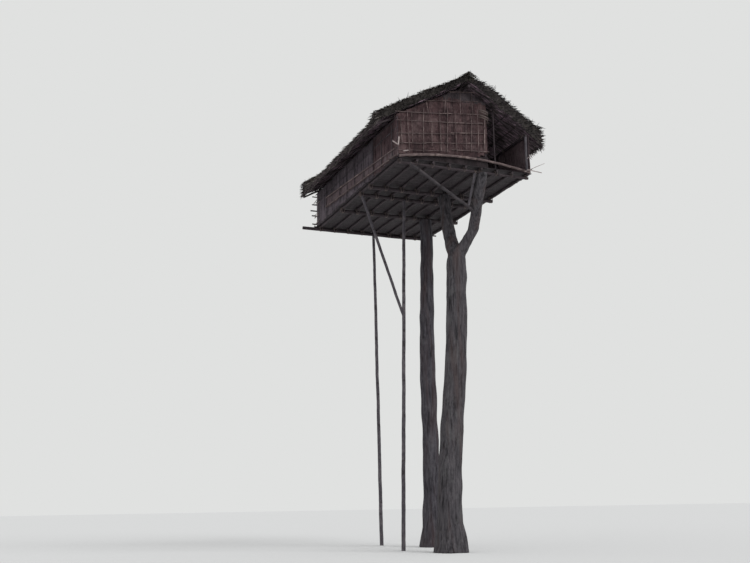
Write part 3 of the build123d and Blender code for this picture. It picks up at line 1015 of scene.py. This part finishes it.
def plain_laths(side, levels, gap, reach=0.1, radius=0.016):
    """Level laths along a wall, and uprights tied over them."""
    start, stop = wall_sides[side][1]
    runs = [lath(side, (start - vary(0.4, 1) * reach, about(level)),
                 (stop + vary(0.4, 1) * reach, about(level)), lath_off, radius) for level in levels]
    for x in spread(start + gap / 2, stop - gap / 2, round((stop - start) / gap)):
        x += vary(-0.1, 0.1)
        runs.append(lath(side, (x, floor_level + vary(0.02, 0.1)),
                         (x + vary(-0.05, 0.05), wall_top - vary(0.05, 0.25)), upright_off))
    return runs


def loose_ends():
    """Short pole ends that stick out at the corners."""
    runs = [lath("front", (start, floor_level + low), (stop, floor_level + high), off, radius)
            for start, low, stop, high, off, radius in (
                (-2.5, 0.36, -2.47, 0.64, 0.07, 0.028), (-2.7, 0.47, -2.52, 0.37, 0.07, 0.024),
                (-2.33, 0.15, -2.15, 0.2, 0.1, 0.02), (2.2, -0.02, 3.02, 0.38, 0.1, 0.011),
                (2.3, 0.07, 2.88, 0.01, 0.12, 0.018), (2.35, 0.5, 2.63, 0.68, 0.06, 0.009))]
    for level in (0.16, 0.42, 0.5, 0.93, 1.12):
        out = vary(0.08, 0.34)
        level += floor_level
        runs.append(lath("left", (-half_length - out, level + vary(-0.12, 0.08)),
                         (-half_length + vary(0.25, 0.6), level), 0.04, vary(0.01, 0.02)))
    return runs


def laths():
    """All the laths and rails on the outside of the walls."""
    rails = [lath("left", (foot_band_start, floor_level + back), (half_length + past, floor_level + front),
                  0.06, radius)
             for back, past, front, radius in ((0.44, 0.16, 0.02, 0.03), (0.8, 0.2, 0.26, 0.026))]
    edge = [lath("back", (-half_width - 0.05, level), (half_width + 0.1, level), 0.026, 0.03)
            for level in (floor_level - 0.015, floor_level - 0.07)]
    for name, finish, runs in (
            ("front_laths", "pale_lath", front_laths()),
            ("loose_pole_ends", "peeled_pole", loose_ends()),
            ("left_foot_rails", "pale_lath", rails),
            ("back_laths", "shade_dark_pole",
             plain_laths("back", (0.12, 0.42, 0.62, 0.9, 1.25), 0.45, 0.42, 0.03)),
            ("back_edge_laths", "shade_dark_pole", edge),
            ("left_laths", "shaded_pole", plain_laths("left", (1.0, 1.32), 0.8)),
            ("right_laths", "shade_dark_pole", plain_laths("right", (0.15, 0.75, 1.3), 0.8))):
        piece = poles(name, runs, sway_size=0.03, lump_size=0.005, sides=6, ring_gap=0.16)
        give(piece, "poles", 40, finish, "cut_end")


# Lashings

def lashing_source():
    """Three turns of cane drawn tight round two crossing poles, one metre off their axis before sizing."""
    turns = []
    for level, lean in ((-0.2, 4), (0.0, -5), (0.2, 3)):
        turn = primitive(bpy.ops.mesh.primitive_torus_add, major_segments=16, minor_segments=4,
                         major_radius=1, minor_radius=0.09)
        for vertex in turn.data.vertices:
            x, y, z = vertex.co
            around = (x * x + y * y) ** 0.5
            square = (abs(x / around) ** 3 + abs(y / around) ** 3) ** (1 / 3)
            vertex.co = x / square, y / square, z
        turn.data.transform(Matrix.Translation((0, 0, level)) @ Matrix.Rotation(radians(lean), 4, "X"))
        turns.append(turn)
    return joined("lashing_turns", turns)


def lashed(first, second):
    """The places of a crossed lashing where two poles pass each other."""
    foot_a, head_a, radius_a = first[:3]
    foot_b, head_b, radius_b = second[:3]
    way_a = (head_a - foot_a).normalized()
    way_b = (head_b - foot_b).normalized()
    near_a, near_b = intersect_line_line(foot_a, head_a, foot_b, head_b)
    apart = near_b - near_a
    out = apart.normalized()
    centre = (near_a + near_b + out * (radius_b - radius_a)) / 2
    long = (apart.length + radius_a + radius_b) / 2 - 0.002
    wide = max(radius_a, radius_b) * 1.3
    places = []
    for way in (way_a + way_b, way_a - way_b):
        axis = way.normalized()
        turn = Matrix((out, axis.cross(out), axis)).transposed()
        places.append((centre, turn, (long, wide, min(long, wide))))
    return places


def lashings():
    """Cane lashings where the poles cross, and turns round the front wall's edge."""
    turns = sources("lashing", [lashing_source()])
    places = []
    for bearer in ("front_bearer", "limb_bearer", "middle_bearer", "rear_bearer", "back_bearer"):
        for joist in axes["floor_joists"]:
            places += lashed(axes[bearer][0], joist)
    for side in ("left", "right"):
        for rafter in axes[side + "_rafters"]:
            places += lashed(axes[side + "_wall_plate"][0], rafter)
    for brace, bearer in (("corner_brace", "front_bearer"), ("side_brace", "middle_bearer"),
                          ("front_strut", "front_bearer")):
        places += lashed(axes[brace][0], axes[bearer][0])
    for level in (1.78, 1.98):
        head = Vector((panel_edge - 0.1, -half_length + 0.04, floor_level + level))
        places.append((head, Matrix.Rotation(radians(16), 3, "Y"), (0.17, 0.14, 0.2)))
    give(copies("lashings", turns, places), "poles", 40, "cane")


# Stage

def stage():
    """A plain pale floor, soft lamps and a pale background."""
    ground = primitive(bpy.ops.mesh.primitive_plane_add, size=600)
    ground.name = "studio_floor"
    finish = Finish("studio_floor", 0.9, 0.0)
    finish.shader["Base Color"].default_value = linear((222, 223, 223))
    ground.data.materials.append(finish.material)
    world = bpy.data.worlds.new("studio")
    bpy.context.scene.world = world
    world.use_nodes = True
    tree = world.node_tree
    light = tree.nodes["Background"]
    light.inputs["Color"].default_value = white
    light.inputs["Strength"].default_value = 0.62
    seen = add(tree, "ShaderNodeLightPath", {}, "Is Camera Ray")
    back = add(tree, "ShaderNodeBackground", {"Color": linear((224, 225, 224)), "Strength": 1.0})
    mix = add(tree, "ShaderNodeMixShader", {0: seen, 1: light.outputs[0], 2: back})
    tree.links.new(mix, tree.nodes["World Output"].inputs["Surface"])
    for name, power, angle, turn in (("key", 1.5, 40, (radians(52), 0, radians(24))),
                                     ("fill", 0.3, 60, (radians(70), 0, radians(-62)))):
        lamp = bpy.data.lights.new(name, "SUN")
        lamp.energy = power
        lamp.angle = radians(angle)
        shown(name, lamp).rotation_euler = turn
    bpy.context.scene.view_settings.view_transform = "Standard"


def camera():
    """The camera at the photograph's place and angle."""
    lens = bpy.data.cameras.new("camera")
    lens.sensor_width = 36
    lens.lens = focal_pixels * lens.sensor_width / photo_width
    lens.clip_end = 1000
    holder = shown("camera", lens)
    holder.matrix_world = (Matrix.Translation(camera_place) @ Matrix.Rotation(-camera_yaw, 4, "Z")
                           @ Matrix.Rotation(pi / 2 + camera_pitch, 4, "X")
                           @ Matrix.Rotation(camera_roll, 4, "Z"))
    bpy.context.scene.camera = holder


camera()
stage()
all_poles()
standing_tree("forked_tree", ["main_trunk", "front_limb", "middle_limb"], "tree_bark",
              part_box("main_trunk")[1].z)
standing_tree("rear_tree", ["rear_trunk"], "dark_tree_bark")
leaf_sources = sources("leaf", [
    leaf([(0, 0.5, 0.06), (0.3, 1.0, 0.09), (0.75, 0.7, 0.07), (1, 0.08, 0.03)], 0.16, 0.04, 0.5),
    leaf([(0, 0.5, 0.06), (0.35, 0.9, 0.09), (0.7, 0.75, 0.07), (1, 0.15, 0.03)], 0.2, -0.05, -0.9),
    leaf([(0, 0.6, 0.06), (0.25, 1.0, 0.09), (0.8, 0.5, 0.07), (1, 0.1, 0.03)], 0.1, 0.1, 1.2),
    leaf([(0, 0.4, 0.06), (0.3, 0.7, 0.09), (0.85, 0.5, 0.07), (1, 0.1, 0.03)], 0.3, -0.1, -0.3)])
slope_leaves(-1, "left_thatch", leaf_sources)
slope_leaves(1, "right_thatch", leaf_sources)
ridge_leaves(leaf_sources)
floor_slats()
walls()
laths()
lashings()
for source in sources_made:
    bpy.data.objects.remove(source)
